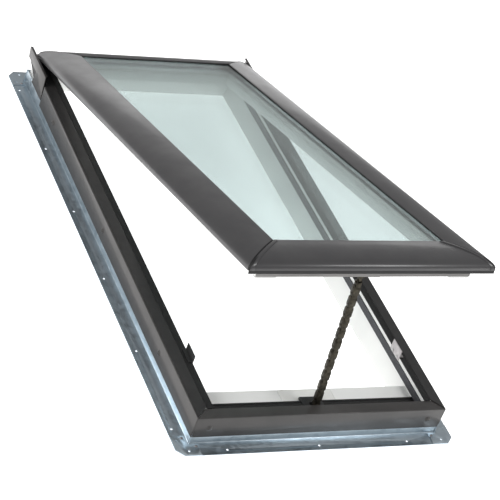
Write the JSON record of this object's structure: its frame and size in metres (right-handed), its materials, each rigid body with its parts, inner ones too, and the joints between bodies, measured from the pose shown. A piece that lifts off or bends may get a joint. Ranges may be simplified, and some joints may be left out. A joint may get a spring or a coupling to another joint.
{
  "type": "venting roof skylight",
  "caption": "Top-hung roof skylight with a glazed sash propped open by a push chain over a clad timber frame and mounting flange.",
  "frame": {"origin": "centre of the footprint, on the plane of the mounting flange", "axes": "+X across the roof, +Y up the slope, +Z away from the roof deck"},
  "size_m": [0.6254, 1.2454, 0.4194],
  "materials": {
    "painted_wood": "white paint",
    "cladding": "baked paint",
    "cover": "baked paint, satin",
    "rubber": "matt",
    "draught_strip": "foam",
    "galvanised": "galvanised sheet",
    "guide": "zinc plated",
    "glass": "clear low-iron",
    "spacer": "mill finish",
    "black_plastic": "moulded",
    "white_plastic": "moulded",
    "brass": "machined",
    "chain": "plated",
    "steel": "zinc plated"
  },
  "bodies": {
    "frame": {"frame_side_left": "painted_wood", "frame_side_right": "painted_wood", "frame_bottom_rail": "painted_wood", "frame_top_rail": "painted_wood", "cladding_left": "cladding", "cladding_right": "cladding", "cladding_bottom": "cladding", "cladding_top": "cladding", "cladding_screws": "steel", "frame_seal_left": "rubber", "frame_seal_right": "rubber", "frame_seal_top": "rubber", "sill_seal": "rubber", "draught_strip_left": "draught_strip", "draught_strip_right": "draught_strip", "flange_left": "galvanised", "flange_right": "galvanised", "flange_bottom": "galvanised", "flange_top": "galvanised", "flange_rivets": "steel", "corner_piece_bottom_left": "galvanised", "corner_piece_bottom_right": "galvanised", "corner_piece_top_left": "galvanised", "corner_piece_top_right": "galvanised", "hinge_bracket_left": "steel", "hinge_bracket_right": "steel", "hinge_cover_left": "cladding", "hinge_cover_right": "cladding", "hinge_pin_left": "steel", "hinge_pin_right": "steel", "guide_plate_left": "guide", "guide_plate_right": "guide", "guide_screws": "steel", "operator_housing": "steel", "operator_lid": "black_plastic", "operator_cover": "white_plastic"},
    "sash": {"sash_side_left": "painted_wood", "sash_side_right": "painted_wood", "sash_bottom_rail": "painted_wood", "sash_top_rail": "painted_wood", "cover_left": "cover", "cover_right": "cover", "cover_bottom": "cover", "cover_top": "cover", "glazing_gasket": "rubber", "outer_pane": "glass", "inner_pane": "glass", "spacer_bar": "spacer", "edge_sealant": "rubber", "hinge_leaf_left": "steel", "hinge_leaf_right": "steel", "chain_bracket": "steel", "chain_pin": "steel", "bracket_screws": "steel"},
    "sprocket_shaft": {"sprocket": "steel", "worm_wheel": "brass"},
    "crank": {"crank_worm": "steel", "crank_eye": "steel"},
    "chain": {"chain": "chain"},
    "chain_end": {"chain_end_link": "chain"}
  },
  "joints": [
    {"name": "sash_hinge", "type": "hinge", "parent": "frame", "child": "sash", "pos_m": [0, 0.585, 0.076], "axis": [1, 0, 0], "range_deg": [0, 16.15], "deforming": ["chain"]},
    {"name": "chain_swing", "type": "hinge", "parent": "frame", "child": "chain", "pos_m": [0, -0.548, 0.043], "axis": [1, 0, 0], "range_deg": [0, 8.1]},
    {"name": "chain_pin_turn", "type": "hinge", "parent": "sash", "child": "chain_end", "pos_m": [0, -0.51247, 0.35945], "axis": [1, 0, 0], "range_deg": [-8.1, 0]},
    {"name": "sprocket_turn", "type": "hinge", "parent": "frame", "child": "sprocket_shaft", "pos_m": [0, -0.53336, 0.022], "axis": [1, 0, 0], "range_deg": [0, 1248.7]},
    {"name": "crank_turn", "type": "hinge", "parent": "frame", "child": "crank", "pos_m": [-0.028, -0.49, 0.0092], "axis": [0, 1, 0], "range_deg": [-7489.9, 0]}
  ],
  "couplings": [
    {"joint": "chain_swing", "follows": "sash_hinge", "ratio": 0.5},
    {"joint": "chain_pin_turn", "follows": "sash_hinge", "ratio": -0.5},
    {"joint": "sprocket_turn", "follows": "sash_hinge", "ratio": 77.192},
    {"joint": "crank_turn", "follows": "sash_hinge", "ratio": -463.15}
  ]
}
